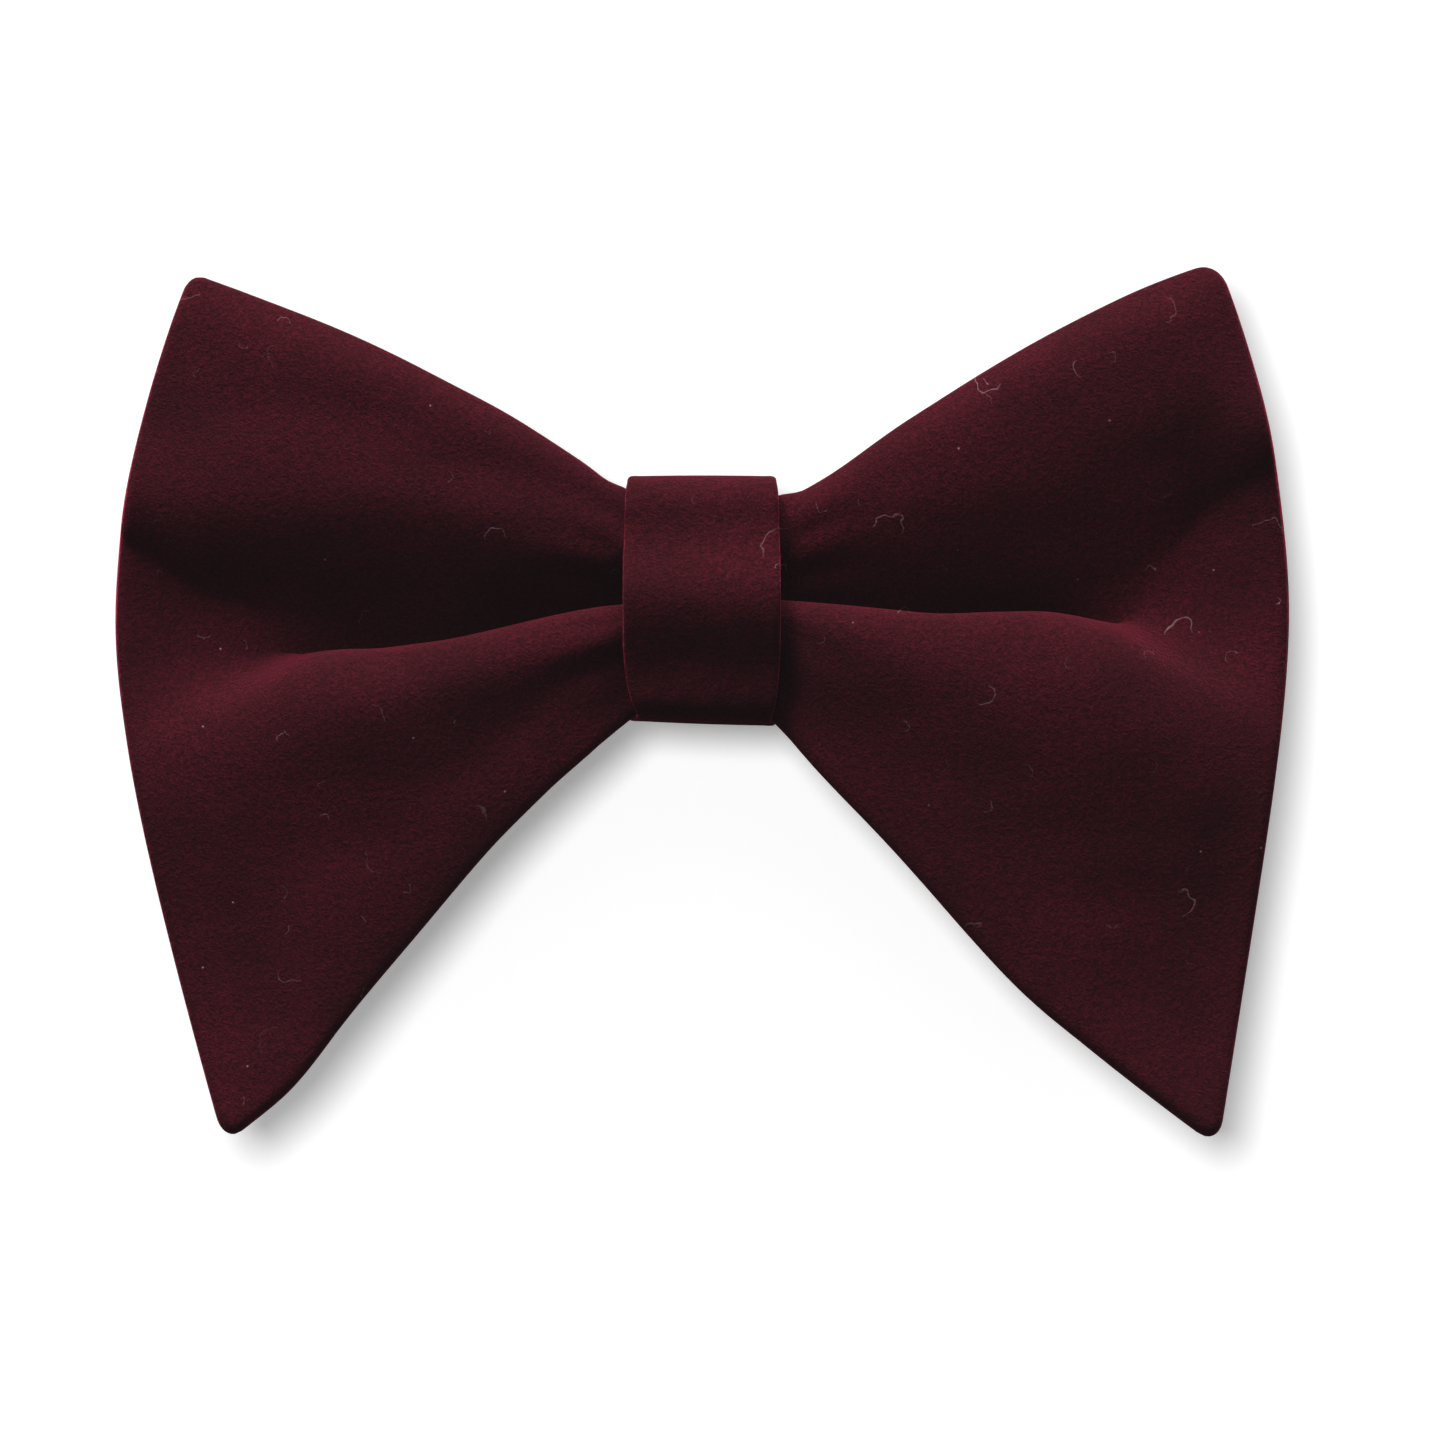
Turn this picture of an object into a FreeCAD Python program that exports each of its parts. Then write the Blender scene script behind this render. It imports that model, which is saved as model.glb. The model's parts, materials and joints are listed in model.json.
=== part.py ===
import FreeCAD, Part
import math
import os

# Clip-on butterfly bow tie in velvet, as it is worn: X across, Y towards the wearer, Z up, millimetres.
# The origin is the centre of the knot band's flat back, which rests on the collar at its top button.

Vector = FreeCAD.Vector
X_AXIS = Vector(1, 0, 0)
Y_AXIS = Vector(0, 1, 0)
Z_AXIS = Vector(0, 0, 1)
ORIGIN = Vector(0, 0, 0)

# Layers of the bow
VELVET = 0.9                 # backing and pile
INTERLINING = 0.5            # canvas between the two velvets
LAYER_GAP = 0.06

# Knot band
BAND_WIDTH = 19.6            # along X
BAND_HEIGHT = 31.2           # along Z
BAND_DEPTH = 15.8            # along Y, without the crown
BAND_CROWN = 1.4             # how far the middle of the front stands out
BAND_VELVET = 1.0
BAND_LINING = 0.5
LINING_SETBACK = 0.8         # how far the lining stops inside each edge of the band
BAND_CORNER = 3.2

# Threads
BINDING_THREAD = 0.3         # diameter of the thread wound round the waist
BINDING_TURNS = 5
BINDING_PITCH = 0.7
SEAM_Z = -6.0                # the band's ends meet below the middle of its back
SEAM_WIDTH = 1.9
SEAM_DEPTH = 0.4
STITCH_THREAD = 0.32
STITCH_REACH = 0.72          # how far a stitch goes each side of the seam
STITCH_LEAN = 0.55           # and along it
STITCH_PITCH = 2.5
STITCH_COUNT = 7

# Clip hardware, for the right side; the left is its mirror image
PLATE_LENGTH = 66.0
PLATE_HEIGHT = 9.6
PLATE_THICKNESS = 0.8
PLATE_FRONT = -2.6           # y of the plate's front face
PLATE_BACK = PLATE_FRONT + PLATE_THICKNESS
SHEET = 0.7                  # thickness of the clip's sheet metal
CLIP_HEIGHT = 8.0            # along Z, over the ears
BASE_START = 12.6            # x where the base begins, beside the band
BASE_END = 34.2
PIVOT = Vector(20.0, 1.3, 0)
PIN_RADIUS = 0.8
PIN_HEAD_RADIUS = 1.25
PIN_HEAD = 0.45
PRESS_CLEARANCE = 0.02
RUNNING_CLEARANCE = 0.06
EAR_RADIUS = 2.0
SIDE_CLEARANCE = 0.35        # between the base's ears and the lever's
LEVER_EAR_RADIUS = 1.85
LEVER_TAIL = 11.4            # x of the finger end of the lever
LEVER_JAW = 32.4             # x of the lever's teeth
JAW_GAP = 0.35               # between the closed jaws
TOOTH_COUNT = 5
TOOTH_DEPTH = 0.9
RIVET_RADIUS = 0.9
RIVET_HEAD_RADIUS = 1.5
RIVET_HEAD = 0.45
RIVET_PLACES = (15.0, 27.0)
TAIL_TILT = 26.0             # degrees between the lever's tail and the base
SPRING_WIRE = 0.5
SPRING_RADIUS = 1.3          # of the wire's centre line
SPRING_TURNS = 4             # whole turns
SPRING_PITCH = 0.62
SPRING_LEG = 4.0
BASE_LEG_TILT = 12.0         # degrees between the lower leg and the base

# The bow's surface. Each line runs along a wing: its height and its distance in front of the collar, at
# the centre, the band's edge, the inner wing, the outer wing, near the end and at the end.
STATIONS = (0.0, 10.4, 16.4, 30.0, 45.0, 60.0)
RIGHT_HEIGHTS = {
    "top": (12.4, 12.6, 15.6, 25.0, 34.6, 41.0, 42.2),
    "upper": (10.6, 10.8, 12.8, 19.6, 27.4, 33.4, 34.0),
    "shoulder": (7.4, 7.5, 8.8, 12.0, 17.6, 22.0, 23.5),
    "valley": (3.2, 3.2, 2.8, 2.4, 4.0, 9.0, 11.0),
    "lip": (0.2, 0.2, -0.2, -1.6, -2.6, -6.0, -8.5),
    "ridge": (-4.4, -4.4, -5.6, -8.6, -11.0, -18.0, -22.0),
    "lower": (-8.8, -9.2, -14.0, -22.5, -31.0, -38.0, -38.0),
    "hem": (-11.4, -12.0, -18.6, -31.6, -44.5, -54.0, -55.0),
    "bottom": (-13.0, -13.2, -18.8, -35.0, -51.6, -62.2, -68.4),
}
LEFT_HEIGHTS = {
    "top": (12.4, 12.8, 16.4, 25.6, 33.6, 39.4, 41.4),
    "upper": (10.6, 10.8, 13.2, 20.4, 27.4, 32.6, 34.0),
    "shoulder": (7.4, 7.5, 8.8, 12.0, 15.0, 18.6, 22.0),
    "valley": (3.2, 3.0, 2.4, 0.6, 0.4, 3.0, 6.0),
    "lip": (0.2, 0.0, -1.0, -3.6, -6.0, -9.0, -10.5),
    "ridge": (-4.4, -4.8, -6.8, -11.0, -15.0, -20.0, -22.5),
    "lower": (-8.8, -9.4, -14.2, -24.0, -33.0, -38.0, -38.0),
    "hem": (-11.4, -12.0, -18.0, -31.0, -45.0, -54.0, -55.0),
    "bottom": (-13.0, -13.2, -18.4, -33.6, -51.0, -64.0, -68.2),
}
DEPTHS = {
    "top": (9.4, 9.4, 9.8, 10.0, 9.8, 9.6, 9.4),
    "upper": (9.4, 9.4, 10.2, 11.2, 11.4, 10.8, 9.8),
    "shoulder": (9.2, 9.4, 12.0, 14.4, 14.8, 13.4, 10.4),
    "valley": (5.6, 5.6, 5.2, 5.0, 5.8, 7.8, 10.8),
    "lip": (12.4, 12.6, 16.8, 18.8, 19.2, 16.0, 12.0),
    "ridge": (12.2, 12.4, 14.8, 16.4, 16.6, 14.6, 11.8),
    "lower": (10.6, 10.8, 12.4, 13.2, 12.8, 11.8, 11.0),
    "hem": (9.6, 9.8, 10.6, 10.8, 10.6, 10.2, 9.8),
    "bottom": (9.4, 9.4, 9.8, 10.0, 9.8, 9.6, 9.4),
}
EDGE_REACH = 75.3            # x of the widest point of a wing, before the surface is smoothed
EDGE_WAIST = -4.0            # z of that point
EDGE_BOW_UP = 0.0042         # how quickly the edge curves in above that point, per mm
EDGE_BOW_DOWN = {"right": 0.0023, "left": 0.0036}


def edge_reach(side, z):
    """How far from the centre a wing's outer edge is at one height."""
    bow = EDGE_BOW_UP if z > EDGE_WAIST else EDGE_BOW_DOWN[side]
    return EDGE_REACH - bow * (z - EDGE_WAIST) ** 2


def wing_poles(side, line, heights):
    """One line's poles from the band outwards, as (x, y, z)."""
    poles = []
    for station, z in enumerate(heights[line]):
        if station < len(STATIONS):
            lean = 0.07 * (z - heights["top"][station]) if station > 1 else 0.0
            x = STATIONS[station] + lean
        else:
            x = edge_reach(side, z)
        poles.append((x, -DEPTHS[line][station], z))
    return poles


def clamped_knots(pole_count, degree):
    """Evenly spaced knots and their multiplicities, with the ends clamped."""
    inner = pole_count - degree - 1
    knots = [k / (inner + 1) for k in range(inner + 2)]
    mults = [degree + 1] + [1] * inner + [degree + 1]
    return knots, mults


def bow_face(depth):
    """The bow's whole face, both wings and the waist, moved forward by the given distance."""
    rows = []
    for line in RIGHT_HEIGHTS:
        right = wing_poles("right", line, RIGHT_HEIGHTS)
        left = wing_poles("left", line, LEFT_HEIGHTS)[1:]
        row = [Vector(-x, y - depth, z) for x, y, z in reversed(left)]
        row += [Vector(x, y - depth, z) for x, y, z in right]
        rows.append(row)
    degree = 3
    u_knots, u_mults = clamped_knots(len(rows), degree)
    v_knots, v_mults = clamped_knots(len(rows[0]), degree)
    surface = Part.BSplineSurface()
    surface.buildFromPolesMultsKnots(rows, u_mults, v_mults, u_knots, v_knots, False, False, degree, degree)
    return surface.toShape()


def bow_layer(depth, thickness):
    """A layer of the bow whose back is at the given distance in front of the middle surface."""
    return bow_face(depth).extrude(Y_AXIS * -thickness)


def front_velvet_panel():
    return bow_layer(INTERLINING / 2 + LAYER_GAP, VELVET)


def bow_interlining():
    return bow_layer(-INTERLINING / 2, INTERLINING)


def back_velvet_panel():
    return bow_layer(-INTERLINING / 2 - LAYER_GAP - VELVET, VELVET)


def yz(y, z, x=0.0):
    return Vector(x, y, z)


def corner_arc(centre_y, centre_z, radius, start, x):
    """A quarter circle in the YZ plane, from the start angle in degrees, measured from +Y."""
    points = []
    for angle in (start, start + 45, start + 90):
        a = math.radians(angle)
        points.append(yz(centre_y + radius * math.cos(a), centre_z + radius * math.sin(a), x))
    return Part.Arc(*points).toShape()


def loop_outline(back, front, half, radius, crown, x):
    """A closed outline in the YZ plane at one x, with round corners and a front that may stand out."""
    straight = half - radius
    front_points = [yz(front, straight, x), yz(front - crown, 0, x), yz(front, -straight, x)]
    if crown:
        front_edge = Part.Arc(*front_points).toShape()
    else:
        front_edge = Part.LineSegment(front_points[0], front_points[2]).toShape()
    edges = [
        Part.LineSegment(yz(back, -straight, x), yz(back, straight, x)).toShape(),
        corner_arc(back - radius, straight, radius, 0, x),
        Part.LineSegment(yz(back - radius, half, x), yz(front + radius, half, x)).toShape(),
        corner_arc(front + radius, straight, radius, 90, x),
        front_edge,
        corner_arc(front + radius, -straight, radius, 180, x),
        Part.LineSegment(yz(front + radius, -half, x), yz(back - radius, -half, x)).toShape(),
        corner_arc(back - radius, -straight, radius, 270, x),
    ]
    return Part.Wire(edges)


def band_prism(inset, width):
    """The space inside the band's outline, drawn in by the inset."""
    outline = loop_outline(-inset, inset - BAND_DEPTH, BAND_HEIGHT / 2 - inset, BAND_CORNER - inset,
                           BAND_CROWN, -width / 2)
    return Part.Face(outline).extrude(X_AXIS * width)


def knot_band():
    """A ring of folded velvet, with a shallow groove across its back where its ends meet."""
    ring = band_prism(0.0, BAND_WIDTH).cut(band_prism(BAND_VELVET, BAND_WIDTH))
    groove = Part.makeBox(2 * BAND_WIDTH, 2 * SEAM_DEPTH, SEAM_WIDTH,
                          Vector(-BAND_WIDTH, -SEAM_DEPTH, SEAM_Z - SEAM_WIDTH / 2))
    return ring.cut(groove)


def knot_band_lining():
    inset = BAND_VELVET + LAYER_GAP
    width = BAND_WIDTH - 2 * LINING_SETBACK
    return band_prism(inset, width).cut(band_prism(inset + BAND_LINING, width))


def waist_binding_thread():
    """Turns of thread that hold the waist's folds together, inside the band and before the plate."""
    outer_inset = BAND_VELVET + BAND_LINING + 3 * LAYER_GAP
    turns = []
    for number in range(BINDING_TURNS):
        x = (number - (BINDING_TURNS - 1) / 2) * BINDING_PITCH - BINDING_THREAD / 2
        faces = []
        for inset in (outer_inset, outer_inset + BINDING_THREAD):
            back = PLATE_FRONT - 0.2 + outer_inset - inset
            outline = loop_outline(back, inset - BAND_DEPTH, BAND_HEIGHT / 2 - inset,
                                   BAND_CORNER - inset + 0.4, 0, x)
            faces.append(Part.Face(outline))
        turns.append(faces[0].cut(faces[1]).extrude(X_AXIS * BINDING_THREAD))
    return Part.makeCompound(turns)


def band_seam_stitches():
    """Slip stitches in the groove, each leaning across the line where the band's ends meet."""
    stitches = []
    radius = STITCH_THREAD / 2
    depth = radius - SEAM_DEPTH + 0.02
    for number in range(STITCH_COUNT):
        x = (number - (STITCH_COUNT - 1) / 2) * STITCH_PITCH
        start = Vector(x - STITCH_LEAN, depth, SEAM_Z - STITCH_REACH)
        along = Vector(2 * STITCH_LEAN, 0, 2 * STITCH_REACH)
        stitch = Part.makeCylinder(radius, along.Length, start, along)
        stitches.append(stitch.multiFuse([Part.makeSphere(radius, end) for end in (start, start + along)]))
    return Part.makeCompound(stitches)


def rounded_slab(x0, x1, height, y0, y1, radius):
    """A flat strip between two x values with rounded corners, centred on z = 0."""
    slab = Part.makeBox(x1 - x0, y1 - y0, height, Vector(x0, y0, -height / 2))
    corners = [e for e in slab.Edges if abs(e.tangentAt(e.FirstParameter).y) > 0.9]
    return slab.makeFillet(radius, corners)


def post(x, y0, y1, radius, z=0.0):
    """A round post along Y."""
    return Part.makeCylinder(radius, y1 - y0, Vector(x, y0, z), Y_AXIS)


def bridge_plate():
    """The long plate behind the waist, narrowed where the band holds it."""
    plate = rounded_slab(-PLATE_LENGTH / 2, PLATE_LENGTH / 2, PLATE_HEIGHT, PLATE_FRONT, PLATE_BACK, 3.0)
    holes = []
    for x in RIVET_PLACES:
        for side in (-1, 1):
            holes.append(post(side * x, PLATE_FRONT - 1, PLATE_BACK + 1, RIVET_RADIUS + PRESS_CLEARANCE))
    for side in (-1, 1):
        notch_centre = side * (PLATE_HEIGHT / 2 + 1.4)
        holes.append(post(0, PLATE_FRONT - 1, PLATE_BACK + 1, 2.6, notch_centre))
    return plate.cut(Part.makeCompound(holes))


def tooth_cuts(x, y_root, y_tip, z_half, phase):
    """V-shaped notches along Z through a jaw's turned edge; what stays between them are its teeth."""
    pitch = 2 * z_half / TOOTH_COUNT
    cuts = []
    for number in range(-1, TOOTH_COUNT + 1):
        middle = -z_half + (number + phase) * pitch
        points = [
            Vector(x, y_root, middle),
            Vector(x, y_tip, middle - pitch * 0.42),
            Vector(x, y_tip, middle + pitch * 0.42),
            Vector(x, y_root, middle),
        ]
        cuts.append(Part.Face(Part.makePolygon(points)).extrude(X_AXIS * 3))
    return Part.makeCompound(cuts)


def pin_holes(radius):
    return Part.makeCylinder(radius, 2 * CLIP_HEIGHT, PIVOT - Z_AXIS * CLIP_HEIGHT, Z_AXIS)


def clip_base():
    """Fixed jaw: a floor riveted to the plate, two ears for the pin and a toothed edge turned back."""
    half = CLIP_HEIGHT / 2
    floor_back = PLATE_BACK + SHEET
    body = rounded_slab(BASE_START, BASE_END, CLIP_HEIGHT, PLATE_BACK, floor_back, 1.0)
    for side in (-1, 1):
        z0 = half - SHEET if side > 0 else -half
        stem = Part.makeBox(2 * EAR_RADIUS + 2, PIVOT.y - floor_back + 0.2, SHEET,
                            Vector(PIVOT.x - EAR_RADIUS - 1, floor_back - 0.2, z0))
        crown = Part.makeCylinder(EAR_RADIUS, SHEET, Vector(PIVOT.x, PIVOT.y, z0), Z_AXIS)
        body = body.fuse(stem.common(ear_taper(z0))).fuse(crown)
    lip_height = JAW_GAP + TOOTH_DEPTH + 0.7
    lip = Part.makeBox(SHEET, lip_height, CLIP_HEIGHT - 1.2,
                       Vector(BASE_END - SHEET, floor_back - 0.1, -half + 0.6))
    teeth = tooth_cuts(BASE_END - 2, floor_back + 0.35, floor_back + lip_height, half - 0.6, 0.5)
    body = body.fuse(lip.cut(teeth))
    holes = [pin_holes(PIN_RADIUS + PRESS_CLEARANCE)]
    for x in RIVET_PLACES:
        holes.append(post(x, PLATE_BACK - 1, floor_back + 1, RIVET_RADIUS + PRESS_CLEARANCE))
    return body.cut(Part.makeCompound(holes)).removeSplitter()


def ear_taper(z0):
    """A wedge, wide at the floor and as wide as the ear at the pin."""
    low = PLATE_BACK
    points = [
        Vector(PIVOT.x - EAR_RADIUS - 1, low, z0),
        Vector(PIVOT.x + EAR_RADIUS + 1, low, z0),
        Vector(PIVOT.x + EAR_RADIUS, PIVOT.y, z0),
        Vector(PIVOT.x - EAR_RADIUS, PIVOT.y, z0),
        Vector(PIVOT.x - EAR_RADIUS - 1, low, z0),
    ]
    return Part.Face(Part.makePolygon(points)).extrude(Z_AXIS * SHEET)


def lever_profile():
    """Centre line of the lever's bent sheet in the XY plane, from its teeth to its finger end."""
    jaw_low = PLATE_BACK + SHEET + JAW_GAP + SHEET / 2
    tail_rise = (PIVOT.x - 1.5 - LEVER_TAIL - 1.6) * math.tan(math.radians(TAIL_TILT))
    return [
        Vector(LEVER_JAW, jaw_low, 0),
        Vector(LEVER_JAW - 0.5, jaw_low + 1.9, 0),
        Vector(LEVER_JAW - 3.6, jaw_low + 2.8, 0),
        Vector(PIVOT.x + 1.5, PIVOT.y + 2.75, 0),
        Vector(PIVOT.x - 1.5, PIVOT.y + 2.9, 0),
        Vector(LEVER_TAIL + 1.6, PIVOT.y + 2.9 + tail_rise, 0),
        Vector(LEVER_TAIL, PIVOT.y + 2.8 + tail_rise, 0),
    ]


def bent_sheet(points, thickness, half_width):
    """A sheet of even thickness that follows a bent line, with rounded bends."""
    path = Part.makePolygon(points)
    outline = path.makeOffset2D(thickness / 2, 0, False, False)
    return Part.Face(outline).extrude(Z_AXIS * 2 * half_width).translated(Z_AXIS * -half_width)


def lever_outline():
    """The lever's shape seen from behind: wide jaw, narrow between the ears, wide finger end."""
    wide = CLIP_HEIGHT / 2
    narrow = wide - SHEET - SIDE_CLEARANCE
    near_tail = PIVOT.x - 4.2
    near_jaw = PIVOT.x + 4.2
    half = [
        (LEVER_JAW + 1, wide - 0.6),
        (near_jaw + 1.2, wide - 0.6),
        (near_jaw, narrow),
        (near_tail, narrow),
        (near_tail - 1.4, wide - 0.2),
        (LEVER_TAIL + 1.2, wide - 0.2),
        (LEVER_TAIL - 0.6, wide - 1.8),
    ]
    points = [Vector(x, 0, z) for x, z in half] + [Vector(x, 0, -z) for x, z in reversed(half)]
    points.append(points[0])
    return Part.Face(Part.makePolygon(points)).extrude(Y_AXIS * 30).translated(Y_AXIS * -15)


def clip_lever():
    """Moving jaw: a bent sheet with a toothed edge, two ears on the pin and a finger end."""
    body = bent_sheet(lever_profile(), SHEET, CLIP_HEIGHT / 2).common(lever_outline())
    ear_outer = CLIP_HEIGHT / 2 - SHEET - SIDE_CLEARANCE
    for side in (-1, 1):
        z0 = ear_outer - SHEET if side > 0 else -ear_outer
        disc = Part.makeCylinder(LEVER_EAR_RADIUS, SHEET, Vector(PIVOT.x, PIVOT.y, z0), Z_AXIS)
        web = Part.makeBox(3.4, 2.85, SHEET, Vector(PIVOT.x - 1.7, PIVOT.y, z0))
        body = body.fuse(disc).fuse(web)
    jaw_low = PLATE_BACK + SHEET + JAW_GAP
    teeth = tooth_cuts(LEVER_JAW - 1.5, jaw_low + TOOTH_DEPTH, jaw_low - 0.6, CLIP_HEIGHT / 2 - 0.6, 0.0)
    body = body.cut(teeth)
    return body.cut(pin_holes(PIN_RADIUS + RUNNING_CLEARANCE)).removeSplitter()


def hinge_pin():
    """A plain pin with a flat head outside each ear."""
    half = CLIP_HEIGHT / 2 + 0.03
    pin = Part.makeCylinder(PIN_RADIUS, 2 * half, PIVOT - Z_AXIS * half, Z_AXIS)
    low_head = Part.makeCylinder(PIN_HEAD_RADIUS, PIN_HEAD, PIVOT - Z_AXIS * (half + PIN_HEAD), Z_AXIS)
    high_head = Part.makeCylinder(PIN_HEAD_RADIUS, PIN_HEAD, PIVOT + Z_AXIS * half, Z_AXIS)
    return pin.fuse(low_head).fuse(high_head).removeSplitter()


def clip_rivets():
    """Two rivets with a low head on each side of the plate and the base."""
    rivets = []
    back = PLATE_BACK + SHEET
    for x in RIVET_PLACES:
        shank = post(x, PLATE_FRONT - 0.02, back + 0.02, RIVET_RADIUS)
        front_head = post(x, PLATE_FRONT - 0.02 - RIVET_HEAD, PLATE_FRONT - 0.02, RIVET_HEAD_RADIUS)
        back_head = post(x, back + 0.02, back + 0.02 + RIVET_HEAD, RIVET_HEAD_RADIUS)
        rivets.append(shank.fuse(front_head).fuse(back_head).removeSplitter())
    return Part.makeCompound(rivets)


def clip_spring():
    """A torsion spring round the pin: a coil with one leg on the base and one under the lever's tail."""
    turned = 360 * SPRING_TURNS + 180 - TAIL_TILT - BASE_LEG_TILT
    length = SPRING_PITCH * turned / 360
    start_angle = BASE_LEG_TILT - 90
    coil = Part.makeLongHelix(SPRING_PITCH, length, SPRING_RADIUS)
    section = Part.Wire(Part.makeCircle(SPRING_WIRE / 2, X_AXIS * SPRING_RADIUS, Y_AXIS))
    spring = Part.Wire(coil.Edges).makePipeShell([section], True, True)
    spring.rotate(ORIGIN, Z_AXIS, start_angle)
    legs = ((start_angle, 0.0, -1), (start_angle + turned, length, 1))
    for angle, height, way in legs:
        a = math.radians(angle)
        root = Vector(SPRING_RADIUS * math.cos(a), SPRING_RADIUS * math.sin(a), height)
        along = Vector(-math.sin(a), math.cos(a), 0) * way
        leg = Part.makeCylinder(SPRING_WIRE / 2, SPRING_LEG, root, along)
        knuckle = Part.makeSphere(SPRING_WIRE / 2, root)
        spring = spring.fuse(knuckle).fuse(leg)
    return spring.translated(PIVOT - Z_AXIS * length / 2)


def mirrored(shape):
    return shape.mirror(ORIGIN, X_AXIS)


def build_nodes():
    """Every sub-part by name."""
    nodes = {
        "front_velvet_panel": front_velvet_panel(),
        "bow_interlining": bow_interlining(),
        "back_velvet_panel": back_velvet_panel(),
        "knot_band": knot_band(),
        "knot_band_lining": knot_band_lining(),
        "waist_binding_thread": waist_binding_thread(),
        "band_seam_stitches": band_seam_stitches(),
        "bridge_plate": bridge_plate(),
    }
    clip_parts = {
        "clip_base": clip_base,
        "clip_lever": clip_lever,
        "hinge_pin": hinge_pin,
        "clip_rivets": clip_rivets,
        "clip_spring": clip_spring,
    }
    for name, make in clip_parts.items():
        right = make()
        nodes["right_" + name] = right
        nodes["left_" + name] = mirrored(right)
    return nodes


def main():
    os.makedirs("parts", exist_ok=True)
    for name, shape in build_nodes().items():
        box = shape.BoundBox
        print(f"{name:22s} solids {len(shape.Solids)} valid {shape.isValid()} volume {shape.Volume:9.2f}"
              f"  x {box.XMin:7.2f} {box.XMax:7.2f}  y {box.YMin:7.2f} {box.YMax:7.2f}"
              f"  z {box.ZMin:7.2f} {box.ZMax:7.2f}")
        shape.exportStep(f"parts/{name}.step")


main()
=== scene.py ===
"""Looks of a clip-on velvet bow tie: wings, knot band, threads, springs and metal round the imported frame.

Sizes are in millimetres and become metres through MM, but the stage and the lamps are in metres.
X runs across, Y towards the wearer, Z up.
"""

import json
import math

import bpy
import numpy as np
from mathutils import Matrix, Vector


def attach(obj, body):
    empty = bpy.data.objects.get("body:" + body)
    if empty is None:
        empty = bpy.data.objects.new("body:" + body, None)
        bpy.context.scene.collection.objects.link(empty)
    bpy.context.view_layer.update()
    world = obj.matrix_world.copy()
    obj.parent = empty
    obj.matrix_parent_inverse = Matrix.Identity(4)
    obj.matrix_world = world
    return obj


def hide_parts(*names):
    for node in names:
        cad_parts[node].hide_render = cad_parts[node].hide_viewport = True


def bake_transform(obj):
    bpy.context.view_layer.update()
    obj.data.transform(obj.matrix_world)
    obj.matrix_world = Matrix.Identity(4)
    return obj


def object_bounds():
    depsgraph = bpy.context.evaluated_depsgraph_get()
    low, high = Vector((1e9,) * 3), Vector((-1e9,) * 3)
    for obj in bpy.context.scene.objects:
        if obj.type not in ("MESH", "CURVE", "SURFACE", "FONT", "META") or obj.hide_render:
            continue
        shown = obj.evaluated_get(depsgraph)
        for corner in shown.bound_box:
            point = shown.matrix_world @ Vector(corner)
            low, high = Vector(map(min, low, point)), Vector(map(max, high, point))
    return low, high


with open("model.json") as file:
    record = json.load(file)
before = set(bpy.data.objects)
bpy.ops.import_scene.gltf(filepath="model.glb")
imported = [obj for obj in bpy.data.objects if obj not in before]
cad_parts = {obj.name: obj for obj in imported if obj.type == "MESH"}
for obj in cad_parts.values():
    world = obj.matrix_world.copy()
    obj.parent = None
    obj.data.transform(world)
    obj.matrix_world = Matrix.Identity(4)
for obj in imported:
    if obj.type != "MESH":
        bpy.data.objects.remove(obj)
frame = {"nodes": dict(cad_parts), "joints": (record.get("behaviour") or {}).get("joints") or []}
CAD_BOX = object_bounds()
MM = 0.001

# ---------------------------------------------------------------------------------- the bow's shape

# Each wing's outline and pleat as (distance from the centre, height), then as (distance from the
# centre, share): how far the lip folds over the valley, how deep the valley is, how high the ridge
# below the lip stands, and how far the rows above the valley are drawn towards it
RIGHT_WING = {
    "top": ((0, 12.4), (9.5, 12.6), (15.5, 15.1), (27.1, 22.7), (39.4, 30.3), (53.6, 37.9),
            (64, 42.3), (76, 46.4)),
    "valley": ((0, 2.6), (10, 1.6), (20, 0.2), (32, -0.8), (41, -1.0), (48.3, -0.2), (52.2, 0.8),
               (56, 2.8), (60, 6.2), (63.7, 10.2), (67.5, 13.0), (71, 15.5), (76, 18.0)),
    "lip": ((0, 0.6), (10, -0.9), (19, -2.1), (32, -3.0), (44.5, -3.2), (52, -5.0), (56, -7.1),
            (60, -9.4), (64, -11.3), (68, -13.6), (76, -18.0)),
    "bottom": ((0, -13.2), (8.6, -14.4), (13.6, -20.4), (25.4, -33.0), (41.0, -50.3), (48.7, -56.8),
               (61.3, -66.6), (76, -77.1)),
    "folded": ((0, 0.0), (3, 0.0), (8, 0.92), (10, 0.95), (18, 1.0), (44, 1.0), (49, 0.75),
               (53, 0.4), (57, 0.12), (61, 0.02), (65, 0.0), (76, 0.0)),
    "dented": ((0, 0.9), (10, 0.95), (18, 1.0), (60, 1.0), (65, 0.9), (69, 0.65), (72, 0.35),
               (76, 0.1)),
    "ridged": ((0, 0.9), (10, 0.95), (18, 1.0), (50, 1.0), (56, 0.82), (60, 0.62), (65, 0.4),
               (70, 0.15), (76, 0.0)),
    "drawn": ((0, 0.0), (56, 0.0), (64, 0.15), (76, 0.3)),
}
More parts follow.
